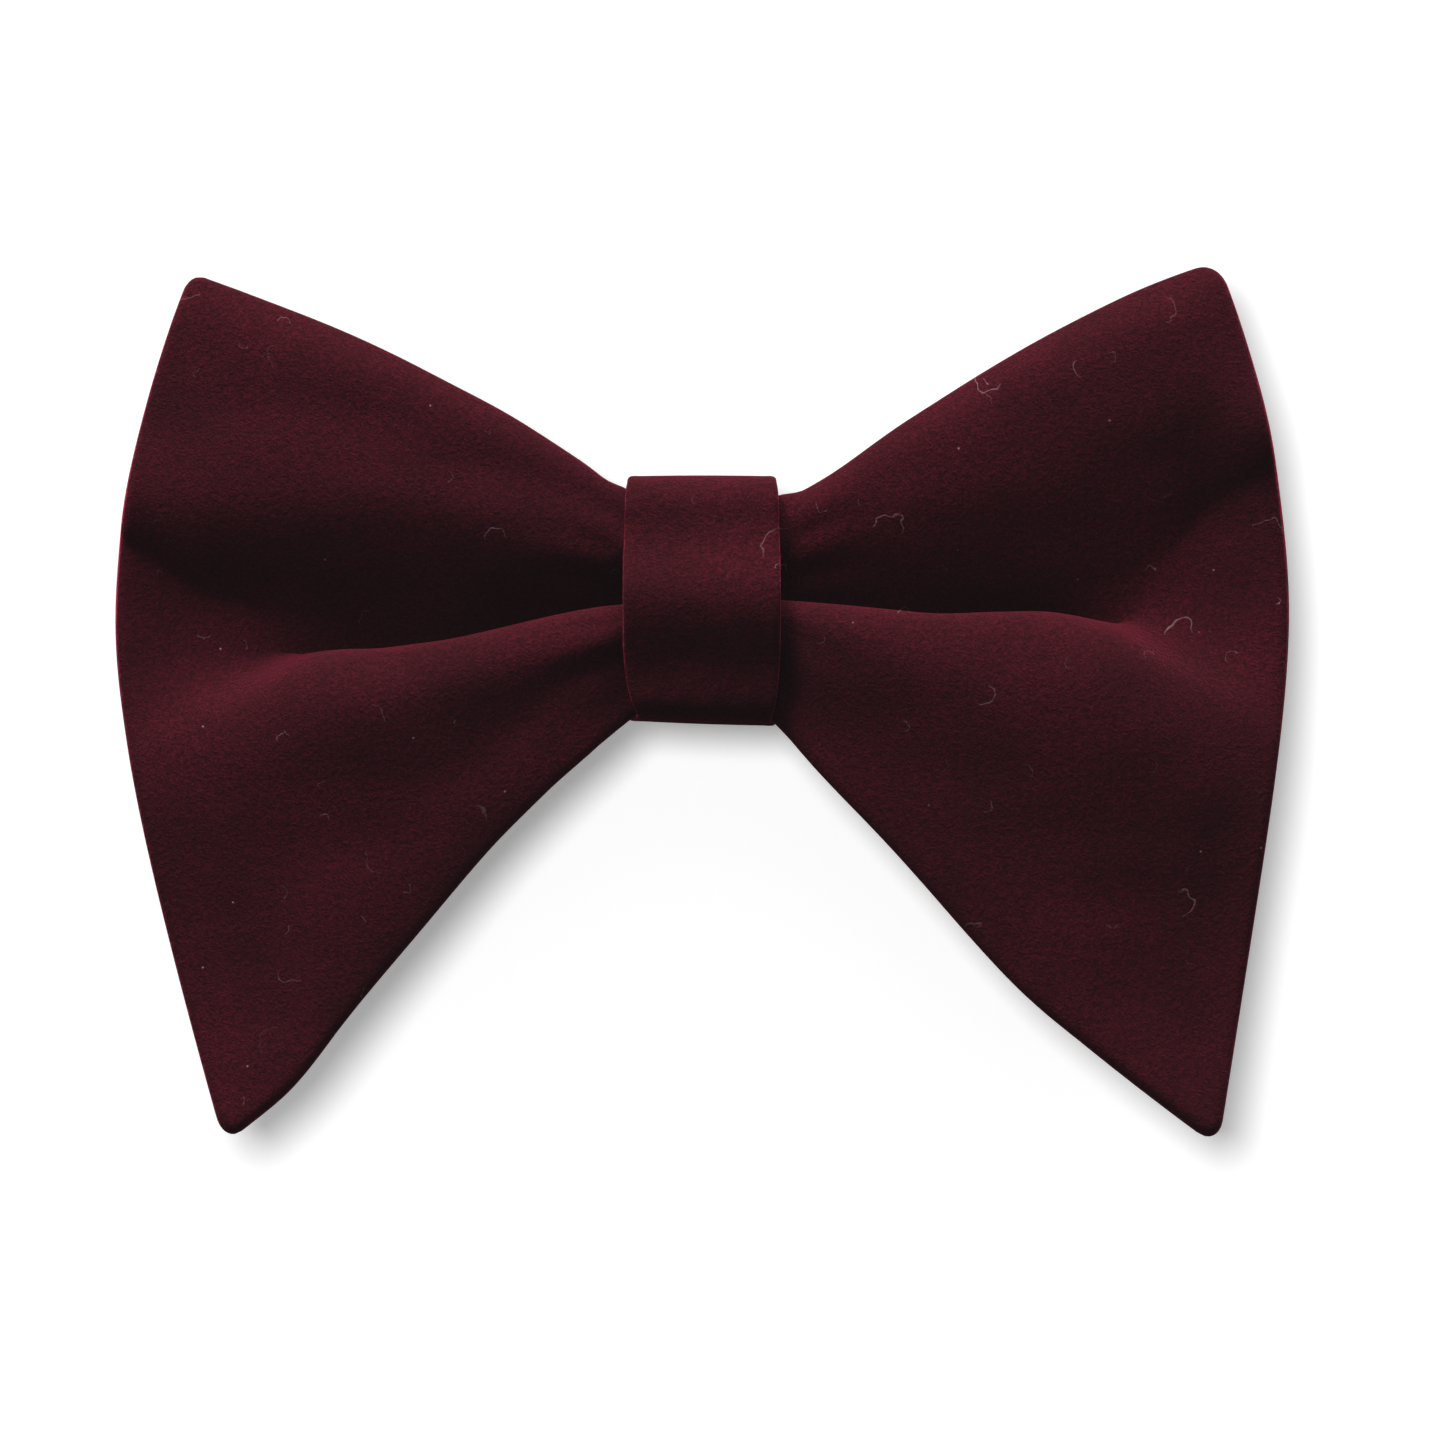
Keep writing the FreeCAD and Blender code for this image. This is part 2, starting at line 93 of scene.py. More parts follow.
LEFT_WING = {
    "top": ((0, 12.4), (9.5, 13.3), (16, 17.6), (24.2, 22.7), (33.8, 27.8), (44.1, 32.9),
            (56.3, 38.0), (63, 40.7), (76, 45.8)),
    "valley": ((0, 2.4), (10, 1.0), (20, -1.2), (32, -3.4), (45, -4.4), (51.4, -4.4), (56.5, -3.2),
               (60, -1.4), (64.2, 0.6), (68, 3.4), (71, 6.0), (76, 9.0)),
    "lip": ((0, 0.6), (10, -1.5), (20.7, -3.8), (32.2, -6.1), (40, -7.2), (46, -7.7), (51.4, -9.0),
            (56.5, -12.0), (60, -13.6), (64.2, -15.0), (68, -17.0), (76, -22.0)),
    "bottom": ((0, -13.2), (8.2, -14.0), (12.4, -17.7), (26, -30.5), (34.8, -40.7), (43.5, -51.2),
               (51.7, -61.8), (57.2, -66.6), (76, -80.0)),
    "folded": ((0, 0.0), (3, 0.0), (8, 0.92), (10, 0.95), (18, 1.0), (41, 1.0), (46, 0.8),
               (50, 0.45), (54, 0.15), (58, 0.03), (62, 0.0), (76, 0.0)),
    "dented": ((0, 0.9), (10, 0.95), (18, 1.0), (56, 1.0), (60, 0.9), (64, 0.74), (68, 0.5),
               (72, 0.25), (76, 0.1)),
    "ridged": ((0, 0.9), (10, 0.95), (18, 1.0), (50, 1.0), (56, 0.76), (61, 0.52), (65, 0.36),
               (69, 0.2), (76, 0.0)),
    "drawn": ((0, 0.0), (52, 0.0), (60, 0.25), (66, 0.5), (76, 0.7)),
}
EDGE_REACH = 75.15
EDGE_WAIST = -4.0            # height of a wing's widest place
# How the outer edge draws in, above and below that place: factor and power of the distance from it
EDGE_BOW = {(1, "up"): (0.00415, 2.0), (1, "down"): (0.0603, 1.21),
            (-1, "up"): (0.0089, 1.83), (-1, "down"): (0.0452, 1.38)}
CORNER_RADIUS = {(1, "top"): 3.6, (1, "bottom"): 3.6, (-1, "top"): 2.4, (-1, "bottom"): 3.6}

# Depths are in front of the collar. Down a wing: share of the way to the edge, then the depth where
# the left wing is dented, where the right one is, and where either is flat
ABOVE_VALLEY = ((1.0, 9.6, 9.6, 9.6), (0.95, 11.5, 11.5, 10.6), (0.88, 12.6, 12.7, 11.2),
                (0.76, 12.6, 12.9, 11.3), (0.64, 12.7, 12.9, 11.5), (0.52, 13.3, 12.7, 12.0),
                (0.42, 13.3, 12.0, 12.9), (0.31, 12.2, 11.1, 13.6), (0.19, 10.3, 9.8, 13.4),
                (0.07, 8.0, 8.4, 12.4))
# Round the pleat: share of the way from valley to lip when open, drop below the lip when folded, and
# the depth where it is folded, dented and flat
PLEAT_ROWS = ((0.0, -1.4, 5.8, 8.0, 11.4), (0.30, 4.2, 4.4, 8.1, 11.0), (0.55, 3.8, 8.4, 8.3, 11.2),
              (0.80, 0.2, 12.0, 10.0, 11.8), (0.97, -0.2, 15.4, 13.0, 12.4))
BELOW_LIP = ((0.02, 16.6, 16.6, 12.9), (0.10, 18.0, 18.0, 13.2), (0.20, 18.0, 18.2, 13.3),
             (0.34, 16.7, 17.2, 12.9), (0.50, 15.8, 15.9, 12.6), (0.66, 15.9, 15.2, 12.5),
             (0.84, 15.5, 14.7, 12.4), (0.95, 15.0, 14.3, 12.3), (1.0, 14.4, 13.8, 12.1))
TIP_CURL = 3.6               # how far the lower tips come forward, from the height where that starts
TIP_CURL_FROM = -40
TIP_CURL_HEIGHT = 27

# Along a wing, as (distance from the centre, value): how much of the relief is left, the depth that
# the relief goes round, and half the wing's thickness
DEPTH_SHARE = ((0, 0.5), (9, 0.52), (16, 0.74), (26, 0.92), (36, 1.06), (46, 1.22), (60, 1.25),
               (76, 1.2))
DEPTH_MIDDLE = ((0, 8.4), (9, 8.5), (18, 9.3), (28, 9.4), (76, 9.4))
HALF_THICKNESS = ((0, 0.7), (9, 0.75), (20, 1.2), (35, 1.45), (76, 1.4))
RELIEF_MIDDLE = 9.4          # the depth in the tables above that DEPTH_SHARE leaves where it is
EDGE_ROUNDING = 1.5
# The bunch of gathers inside the knot band: its middle's depth, half its thickness, how much fuller
# it is at the middle of the band's height, and how far up and down that reaches
BUNCH_DEPTH = 7.9
BUNCH_HALF = 4.6
BUNCH_FULLER = 1.5
BUNCH_HALF_HEIGHT = 11.5
# From the centre: where the bunch begins to thin out, and over what distance, beside the fold and on it
BUNCH_END = 13.0
BUNCH_FADE = 5.5
FOLD_BUNCH_END = 7.2
FOLD_BUNCH_FADE = 2.4
FOLD_TOP = 4.5               # heights between which the fold lies there
FOLD_BOTTOM = -4.0
FOLD_FADE = 4.0
# The small waves of the cloth: height, mean wavelength and seed; then how far in from the edge and
# out from the band they come up to their full height
DRAPES = ((0.20, 30, 3), (0.07, 11, 5))
DRAPE_FROM_EDGE = 8
DRAPE_FROM_BAND = 12
# The gathers that run out of the band: where they start and over what distance they come up, and
# round which distance from the centre, over what reach, they are highest
GATHER_HEIGHT = 0.22
GATHER_COUNT = 21            # radians of wave to a radian round the knot
GATHER_START = 9
GATHER_RISE = 4
GATHER_MIDDLE = 11
GATHER_REACH = 9
BAND_EDGE = 9.8
THREAD_HALF = 0.5            # half the binding thread's width, which the fuller bunch keeps clear of
THREAD_FADE = 2.5
VELVET = 0.8                 # thickness of one velvet
FINE_STEP = 0.22             # mesh spacing at the wing's edge and inside it
COARSE_STEP = 0.8


def along(points, x):
    """A smooth curve through the points, at the given places."""
    px = np.array([p[0] for p in points], float)
    py = np.array([p[1] for p in points], float)
    slope = np.diff(py) / np.diff(px)
    tangent = np.concatenate([[slope[0]], (slope[1:] + slope[:-1]) / 2, [slope[-1]]])
    i = np.clip(np.searchsorted(px, x) - 1, 0, len(px) - 2)
    width = px[i + 1] - px[i]
    t = (x - px[i]) / width
    return (py[i] * (1 + 2 * t) * (1 - t) ** 2 + tangent[i] * width * t * (1 - t) ** 2
            + py[i + 1] * t * t * (3 - 2 * t) - tangent[i + 1] * width * t * t * (1 - t))


def spline_weights(count, t):
    """Weights of a clamped cubic B-spline's control points at each t from 0 to 1."""
    knots = np.concatenate([[0] * 3, np.linspace(0, 1, count - 2), [1] * 3])
    t = np.clip(t, 0, 1 - 1e-12)
    weights = np.array([(knots[i] <= t) & (t < knots[i + 1]) for i in range(len(knots) - 1)], float)
    for degree in range(1, 4):
        rows = []
        for i in range(len(knots) - 1 - degree):
            row = np.zeros_like(t)
            if knots[i + degree] > knots[i]:
                row += (t - knots[i]) / (knots[i + degree] - knots[i]) * weights[i]
            end = knots[i + degree + 1]
            if end > knots[i + 1]:
                row += (end - t) / (end - knots[i + 1]) * weights[i + 1]
            rows.append(row)
        weights = np.array(rows)
    return weights.T


def edge_reach(side, z):
    """How far out a wing's outer edge is at one height."""
    factor, power = EDGE_BOW[(side, "up" if z > EDGE_WAIST else "down")]
    return EDGE_REACH - factor * abs(z - EDGE_WAIST) ** power


def wing_controls(side, reach):
    """Control points of a wing's sections at the given shares of its reach, as rows, shares and axes."""
    wing = RIGHT_WING if side > 0 else LEFT_WING
    lines = {name: (lambda x, points=points: along(points, x)) for name, points in wing.items()}
    away = reach * EDGE_REACH
    folded, dented, ridged = (lines[name](away) for name in ("folded", "dented", "ridged"))
    middle, share_of_depth = along(DEPTH_MIDDLE, away), along(DEPTH_SHARE, away)

    def row(open_height, folded_height, tucked, dent, flat, fullness=dented):
        end = EDGE_REACH
        for _ in range(12):
            end = edge_reach(side, float(open_height(np.array(end))))
        x = away * (1 - (1 - end / EDGE_REACH) * reach)
        curl = TIP_CURL * np.clip((TIP_CURL_FROM - open_height(x)) / TIP_CURL_HEIGHT, 0, None) ** 2
        depth = folded * tucked + (1 - folded) * (fullness * dent + (1 - fullness) * flat) + curl
        y = -(middle + (depth - RELIEF_MIDDLE) * share_of_depth)
        return np.stack([side * x, y, folded * folded_height(x) + (1 - folded) * open_height(x)], axis=-1)

    def between(first, second, share, drawn=lambda x: 0):
        def height(x):
            way = share * (1 - drawn(x) * (1 - share))
            return lines[first](x) + way * (lines[second](x) - lines[first](x))
        return height

    rows = []
    for share, left_dent, right_dent, flat in ABOVE_VALLEY:
        height = between("valley", "top", share, lines["drawn"])
        dent = right_dent if side > 0 else left_dent
        rows.append(row(height, height, dent, dent, flat))
    for share, drop, tucked, dent, flat in PLEAT_ROWS:
        height = between("valley", "lip", share)
        rows.append(row(height, lambda x: lines["lip"](x) - drop, tucked, dent, flat))
    for share, left_dent, right_dent, flat in BELOW_LIP:
        dent = right_dent if side > 0 else left_dent
        height = between("lip", "bottom", share)
        tucked = ridged * dent + (1 - ridged) * flat
        rows.append(row(height, height, tucked, dent, flat, ridged))
    return np.array(rows)


def graded(length, fine, coarse, growth=1.2):
    """Places from 0 to a length, close together at both ends, as shares of it."""
    steps = [fine]
    while sum(steps) < length / 2:
        steps.append(min(coarse, steps[-1] * growth))
    steps = np.array(steps + steps[::-1])
    return np.concatenate([[0], np.cumsum(steps)]) / steps.sum()


def section_rows():
    """Where down the section the mesh rows lie, spaced by length along the middle of the right wing."""
    dense = np.linspace(0, 1, 2001)
    controls = wing_controls(1, np.array([0.55]))[:, 0]
    curve = spline_weights(len(controls), dense) @ controls
    length = np.concatenate([[0], np.cumsum(np.linalg.norm(np.diff(curve, axis=0), axis=1))])
    return np.interp(graded(length[-1], FINE_STEP, COARSE_STEP) * length[-1], length, dense)


def corner_inset(side, column):
    """How far the wing's end stands in at each row, so that its corners are round."""
    steps = np.linalg.norm(np.diff(column, axis=0), axis=1)
    from_top = np.concatenate([[0], np.cumsum(steps)])
    inset = np.zeros(len(column))
    for name, distance in (("top", from_top), ("bottom", from_top[-1] - from_top)):
        radius = CORNER_RADIUS[(side, name)]
        inside = np.clip(radius - distance, 0, radius)
        inset += radius - np.sqrt(radius ** 2 - inside ** 2)
    return inset


def bow_grid():
    """The bow's middle surface as columns by rows of points, from the left end and from the top edge."""
    rows = section_rows()
    weights = spline_weights(len(ABOVE_VALLEY) + len(PLEAT_ROWS) + len(BELOW_LIP), rows)
    reach = graded(2 * EDGE_REACH, FINE_STEP, COARSE_STEP)
    reach = reach[reach >= 0.5] * 2 - 1
    wings = []
    for side in (-1, 1):
        end = np.einsum("vr,rk->vk", weights, wing_controls(side, np.array([1.0]))[:, 0])
        inset = corner_inset(side, end) / EDGE_REACH
        controls = wing_controls(side, reach[:, None] * (1 - inset[None, :]))
        wings.append(np.einsum("vr,rcvk->cvk", weights, controls))
    left = wings[0][::-1]
    start = 1 if reach[0] == 0 else 0
    return np.concatenate([left, wings[1][start:]])


def grid_normals(grid):
    """Unit normals, pointing to the front."""
    normal = np.cross(np.gradient(grid, axis=1), np.gradient(grid, axis=0))
    normal /= np.linalg.norm(normal, axis=-1, keepdims=True)
    return normal


def boundary_of(grid):
    """The grid's outer loop of points, in order."""
    return np.concatenate([grid[:, 0], grid[-1, 1:], grid[-2::-1, -1], grid[0, -2:0:-1]])


def edge_distance(grid):
    """Each point's distance to the boundary."""
    loop = boundary_of(grid)
    ahead = np.roll(loop, -1, axis=0) - loop
    squared = (ahead ** 2).sum(axis=1)
    points = grid.reshape(-1, 3)
    distance = np.full(len(points), np.inf)
    at_once = 8
    for first in range(0, len(loop), at_once):
        piece = slice(first, first + at_once)
        offset = points[:, None] - loop[None, piece]
        share = np.clip((offset * ahead[None, piece]).sum(axis=2) / squared[None, piece], 0, 1)
        gap = np.linalg.norm(offset - share[..., None] * ahead[None, piece], axis=2)
        distance = np.minimum(distance, gap.min(axis=1))
    return distance.reshape(grid.shape[:2])


def soft_noise(points, scale, seed):
    """Smooth seeded variation about 0: a sum of plane waves in random directions, of a mean wavelength."""
    rng = np.random.default_rng(seed)
    total = np.zeros(points.shape[:-1])
    count = 14
    for _ in range(count):
        direction = rng.normal(size=3)
        direction /= np.linalg.norm(direction)
        wavelength = scale * rng.uniform(0.7, 1.5)
        total += np.sin(points @ direction * 2 * math.pi / wavelength + rng.uniform(0, 2 * math.pi))
    return total / math.sqrt(count / 2)


def waves(points, kinds):
    """The sum of several kinds of small wave, each with its height, mean wavelength and seed."""
    return sum(height * soft_noise(points, length, seed) for height, length, seed in kinds)


def eased(share):
    """A share held between 0 and 1, with a soft start and end."""
    share = np.clip(share, 0, 1)
    return share * share * (3 - 2 * share)


def finished_grid():
    """The uneven middle surface, its normals, and the half thickness with and without its round edge."""
    grid = bow_grid()
    normal = grid_normals(grid)
    x = np.abs(grid[..., 0])
    inside = np.clip(edge_distance(grid) / DRAPE_FROM_EDGE, 0, 1)
    drape = waves(grid, DRAPES) * inside
    turn = np.arctan2(grid[..., 2], x) * GATHER_COUNT + 2 * soft_noise(grid, 30, 8)
    gathers = GATHER_HEIGHT * np.sin(turn) * np.exp(-((x - GATHER_MIDDLE) / GATHER_REACH) ** 2)
    clear_of_band = np.clip((x - BAND_EDGE) / DRAPE_FROM_BAND, 0, 1)
    uneven = drape * clear_of_band + gathers * np.clip((x - GATHER_START) / GATHER_RISE, 0, 1)
    grid = grid + normal * uneven[..., None]
    z = grid[..., 2]
    off_fold = eased(np.maximum(z - FOLD_TOP, FOLD_BOTTOM - z) / FOLD_FADE)
    bunched = np.maximum(eased((BUNCH_END - x) / BUNCH_FADE) * off_fold,
                         eased((FOLD_BUNCH_END - x) / FOLD_BUNCH_FADE))
    rise = np.clip(z / BUNCH_HALF_HEIGHT, -1, 1)
    beside_thread = eased((x - THREAD_HALF) / THREAD_FADE)
    fuller = BUNCH_FULLER * (0.5 + 0.5 * np.cos(math.pi * rise)) * beside_thread
    grid[..., 1] += bunched * (-BUNCH_DEPTH - fuller - grid[..., 1])
    half = along(HALF_THICKNESS, np.clip(x, 0, 76))
    half = half + bunched * (BUNCH_HALF + fuller - half)
    edge = np.clip(edge_distance(grid) / (EDGE_ROUNDING * (1 + bunched)), 0, 1)
    return grid, grid_normals(grid), half * np.sqrt(1 - (1 - edge) ** 2), half


def mesh_object(name, vertices, faces, material, smooth=True):
    mesh = bpy.data.meshes.new(name)
    mesh.from_pydata([tuple(v) for v in np.asarray(vertices) * MM], [], faces)
    mesh.polygons.foreach_set("use_smooth", [smooth] * len(mesh.polygons))
    mesh.materials.append(material)
    mesh.update()
    obj = bpy.data.objects.new(name, mesh)
    bpy.context.scene.collection.objects.link(obj)
    return obj


def shell(name, outer, inner, material):
    """A closed sheet between two grids that share their boundary points."""
    columns, rows = outer.shape[:2]
    outer_index = np.arange(columns * rows).reshape(columns, rows)
    inner_index = outer_index.copy()
    inside = (columns - 2, rows - 2)
    inner_index[1:-1, 1:-1] = columns * rows + np.arange(inside[0] * inside[1]).reshape(inside)
    vertices = np.concatenate([outer.reshape(-1, 3), inner[1:-1, 1:-1].reshape(-1, 3)])
    faces = []
    for index, turned in ((outer_index, False), (inner_index, True)):
        a, b = index[:-1, :-1].ravel(), index[1:, :-1].ravel()
        c, d = index[1:, 1:].ravel(), index[:-1, 1:].ravel()
        order = (a, b, c, d) if turned else (d, c, b, a)
        faces += np.stack(order, axis=1).tolist()
    return mesh_object(name, vertices, faces, material)


# ------------------------------------------------------------------------------------ the materials

LINT = (0.20, 0.11, 0.12, 1)
# A faint even glow painted into the velvet, standing in for light scattered about within the pile, which
# greys its darkest places
PAINTED_GLOW_HAZE = (0.0042, 0.0044, 0.0048, 1)


def new_material(name):
    material = bpy.data.materials.new(name)
    material.use_nodes = True
    nodes = material.node_tree.nodes
    nodes.clear()
    output = nodes.new("ShaderNodeOutputMaterial")
    shader = nodes.new("ShaderNodeBsdfPrincipled")
    material.node_tree.links.new(shader.outputs[0], output.inputs[0])
    return material, material.node_tree, shader


def node(tree, kind, inputs=(), **settings):
    """A shader node with its settings and inputs; an input is a value or another node's output."""
    made = tree.nodes.new(kind)
    for name, value in settings.items():
        setattr(made, name, value)
    for key, value in dict(inputs).items():
        if isinstance(value, bpy.types.NodeSocket):
            tree.links.new(value, made.inputs[key])
        else:
            made.inputs[key].default_value = value
    return made


def maths(tree, operation, *values):
    """The result of a math node on one or two values."""
    return node(tree, "ShaderNodeMath", dict(enumerate(values)), operation=operation).outputs[0]


def vector_maths(tree, operation, inputs):
    return node(tree, "ShaderNodeVectorMath", inputs, operation=operation).outputs[0]


def noise(tree, scale, detail=2.0, roughness=0.5, vector=None):
    place = vector or node(tree, "ShaderNodeTexCoord").outputs["Object"]
    return node(tree, "ShaderNodeTexNoise", {"Vector": place, "Scale": scale, "Detail": detail,
                                             "Roughness": roughness}).outputs["Fac"]


def spread(tree, value, low, high, to_low=0.0, to_high=1.0):
    """A value's range mapped onto another one, without going past its ends."""
    return node(tree, "ShaderNodeMapRange", {"Value": value, "From Min": low, "From Max": high,
                                             "To Min": to_low, "To Max": to_high}).outputs["Result"]


def mixed(tree, fac, a, b):
    made = node(tree, "ShaderNodeMix", data_type="RGBA")
    for socket, value in ((made.inputs[0], fac), (made.inputs[6], a), (made.inputs[7], b)):
        if isinstance(value, bpy.types.NodeSocket):
            tree.links.new(value, socket)
        else:
            socket.default_value = value
    return made.outputs[2]


LINT_BEND = 0.16             # how far noise bends the rings, as a share of a cell


def lint(tree, cells_per_metre, share, width):
    """Where short curled fibres lie: part of a bent ring in some cells of the cloth, from the front."""
    place = node(tree, "ShaderNodeTexCoord").outputs["Object"]
    place = node(tree, "ShaderNodeSeparateXYZ", {0: place}).outputs
    seen = node(tree, "ShaderNodeCombineXYZ", {"X": place["X"], "Y": place["Z"]}).outputs[0]
    bent = node(tree, "ShaderNodeTexNoise", {"Vector": seen, "Scale": cells_per_metre * 6, "Detail": 1.0},
                noise_dimensions="2D").outputs["Color"]
    seen = vector_maths(tree, "SCALE", {0: seen, "Scale": cells_per_metre})
    bent = vector_maths(tree, "SCALE", {0: bent, "Scale": LINT_BEND})
    seen = vector_maths(tree, "ADD", {0: seen, 1: bent})
    cells = node(tree, "ShaderNodeTexVoronoi", {"Vector": seen, "Scale": 1.0}, voronoi_dimensions="2D")
    chance = node(tree, "ShaderNodeSeparateColor", {0: cells.outputs["Color"]}).outputs
    offset = vector_maths(tree, "SUBTRACT", {0: seen, 1: cells.outputs["Position"]})
    turn = spread(tree, chance[1], 0.0, 1.0, 0.0, 2 * math.pi)
    turned = node(tree, "ShaderNodeVectorRotate", {"Vector": offset, "Angle": turn},
                  rotation_type="Z_AXIS").outputs[0]
    ahead = node(tree, "ShaderNodeSeparateXYZ", {0: turned}).outputs["X"]
    radius = spread(tree, chance[2], 0.0, 1.0, 0.08, 0.17)
    off_ring = maths(tree, "ABSOLUTE", maths(tree, "SUBTRACT", cells.outputs["Distance"], radius))
    ring = spread(tree, off_ring, 0.0, width, 0.6, 0.0)
    arc = maths(tree, "MULTIPLY", ring, spread(tree, ahead, 0.0, 0.06))
    return maths(tree, "MULTIPLY", arc, spread(tree, chance[0], 1 - share, 1.0))


def velvet(name, deep, bright):
    """Short cut pile: dark from the front, red at a slant, with brushed patches, fine grain and lint."""
    material, tree, shader = new_material(name)
    place = node(tree, "ShaderNodeTexCoord").outputs["Object"]
    patches = noise(tree, 55, 2)
    brushed = noise(tree, 260, 3)
    tufts = noise(tree, 1500, 2, 0.6)
    grain = noise(tree, 3200, 2, 0.6)
    colour = mixed(tree, spread(tree, patches, 0.3, 0.7), deep, bright)
    colour = mixed(tree, spread(tree, brushed, 0.35, 0.75, 0.0, 0.35), colour, bright)
    dark = tuple(c * 0.35 for c in deep[:3]) + (1,)
    colour = mixed(tree, spread(tree, tufts, 0.35, 0.62, 0.5, 0.0), colour, dark)
    colour = mixed(tree, spread(tree, grain, 0.35, 0.60, 0.8, 0.0), colour, dark)
    cells = node(tree, "ShaderNodeTexVoronoi", {"Vector": place, "Scale": 520.0})
    chosen = node(tree, "ShaderNodeSeparateColor", {0: cells.outputs["Color"]}).outputs[0]
    specks = spread(tree, cells.outputs["Distance"], 0.04, 0.09, 1.0, 0.0)
    specks = maths(tree, "MULTIPLY", specks, spread(tree, chosen, 0.96, 0.97))
    colour = mixed(tree, specks, colour, LINT)
    colour = mixed(tree, lint(tree, 80.0, 0.30, 0.010), colour, LINT)
    colour = mixed(tree, lint(tree, 190.0, 0.16, 0.013), colour, LINT)
    tree.links.new(colour, shader.inputs["Base Color"])
    shader.inputs["Roughness"].default_value = 1.0
    shader.inputs["Specular IOR Level"].default_value = 0.06
    shader.inputs["Sheen Weight"].default_value = 0.58
    shader.inputs["Sheen Roughness"].default_value = 0.3
    shader.inputs["Sheen Tint"].default_value = (0.62, 0.038, 0.098, 1)
    # painted glow: a faint even emission that lifts the velvet's darkest places
    shader.inputs["Emission Color"].default_value = PAINTED_GLOW_HAZE
    shader.inputs["Emission Strength"].default_value = 1.0
    pile = maths(tree, "ADD", grain, tufts)
    bump = node(tree, "ShaderNodeBump", {"Height": pile, "Strength": 0.7, "Distance": 0.0003})
    tree.links.new(bump.outputs[0], shader.inputs["Normal"])
    return material


def plain_cloth(name, colour, dark, threads_per_mm, sheen):
    """Woven cloth with crossing threads."""
    material, tree, shader = new_material(name)
    place = node(tree, "ShaderNodeTexCoord").outputs["Object"]
    threads = []
    for direction in ("X", "Z"):
        bands = node(tree, "ShaderNodeTexWave", {"Vector": place, "Scale": threads_per_mm * 160,
                                                 "Distortion": 0.6, "Detail": 1.0},
                     bands_direction=direction)
        threads.append(bands.outputs["Fac"])
    weave = maths(tree, "MULTIPLY", threads[0], threads[1])
    tree.links.new(mixed(tree, weave, dark, colour), shader.inputs["Base Color"])
    shader.inputs["Roughness"].default_value = 0.85
    shader.inputs["Sheen Weight"].default_value = sheen
    bump = node(tree, "ShaderNodeBump", {"Height": weave, "Strength": 0.6, "Distance": 0.0001})
    tree.links.new(bump.outputs[0], shader.inputs["Normal"])
    return material


def thread_material():
    material, tree, shader = new_material("sewing_thread")
    ply = noise(tree, 4200, 2)
    colour = mixed(tree, spread(tree, ply, 0.3, 0.7), (0.060, 0.008, 0.014, 1), (0.16, 0.024, 0.040, 1))
    tree.links.new(colour, shader.inputs["Base Color"])
    shader.inputs["Roughness"].default_value = 0.55
    shader.inputs["Sheen Weight"].default_value = 0.3
    return material


GRAIN_ACROSS = 2600.0        # waves of the brushed grain to a metre, across the brushing and along it
GRAIN_ALONG = 130.0


def metal(name, colour, roughness, scratch_direction):
    """Plated or drawn metal with faint handling marks and a fine brushed grain along one axis."""
    material, tree, shader = new_material(name)
    place = node(tree, "ShaderNodeTexCoord").outputs["Object"]
    stretch = [GRAIN_ACROSS] * 3
    stretch[scratch_direction] = GRAIN_ALONG
    scaled = node(tree, "ShaderNodeMapping", {"Vector": place, "Scale": stretch}).outputs[0]
    grain = noise(tree, 1.0, 2, 0.6, scaled)
    smudges = noise(tree, 260, 3, 0.6)
    duller = tuple(c * 0.85 for c in colour[:3]) + (1,)
    tint = mixed(tree, spread(tree, smudges, 0.4, 0.75, 0.0, 0.4), colour, duller)
    tree.links.new(tint, shader.inputs["Base Color"])
    shader.inputs["Metallic"].default_value = 1.0
    worn = maths(tree, "ADD", smudges, spread(tree, grain, 0.3, 0.7, -0.06, 0.06))
    rough = spread(tree, worn, 0.3, 0.75, roughness * 0.85, roughness * 1.35)
    tree.links.new(rough, shader.inputs["Roughness"])
    bump = node(tree, "ShaderNodeBump", {"Height": grain, "Strength": 0.06, "Distance": 0.00001})
    tree.links.new(bump.outputs[0], shader.inputs["Normal"])
    return material


DEEP_WINE = (0.027, 0.0018, 0.0042, 1)
BRIGHT_WINE = (0.050, 0.0028, 0.0074, 1)
WING_VELVET = velvet("wing_velvet", DEEP_WINE, BRIGHT_WINE)
BAND_VELVET = velvet("band_velvet", DEEP_WINE, BRIGHT_WINE)
CANVAS = plain_cloth("interlining_canvas", (0.72, 0.68, 0.60, 1), (0.45, 0.42, 0.36, 1), 1.6, 0.1)
SATIN = plain_cloth("band_lining", (0.10, 0.012, 0.022, 1), (0.06, 0.007, 0.013, 1), 6.0, 0.0)
THREAD = thread_material()
NICKEL = metal("nickel_plate", (0.72, 0.70, 0.66, 1), 0.27, 0)
PIN_STEEL = metal("pin_steel", (0.64, 0.62, 0.60, 1), 0.30, 2)
SPRING_STEEL = metal("spring_wire", (0.50, 0.49, 0.47, 1), 0.32, 2)


# ----------------------------------------------------------------------------------- bow and lining

def declare(piece, body, node_name):
    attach(piece, body)
    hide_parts(node_name)


INTERLINING_SHARE = 0.42     # share of the half thickness that the velvet leaves free, at least
INTERLINING_FILL = 0.6       # how much of the room between the velvets it takes
INTERLINING_MARGIN = 12      # rows of the mesh between the wing's edge and its own
SEAM_ROOM = 0.03             # least room between the velvets, near their seam


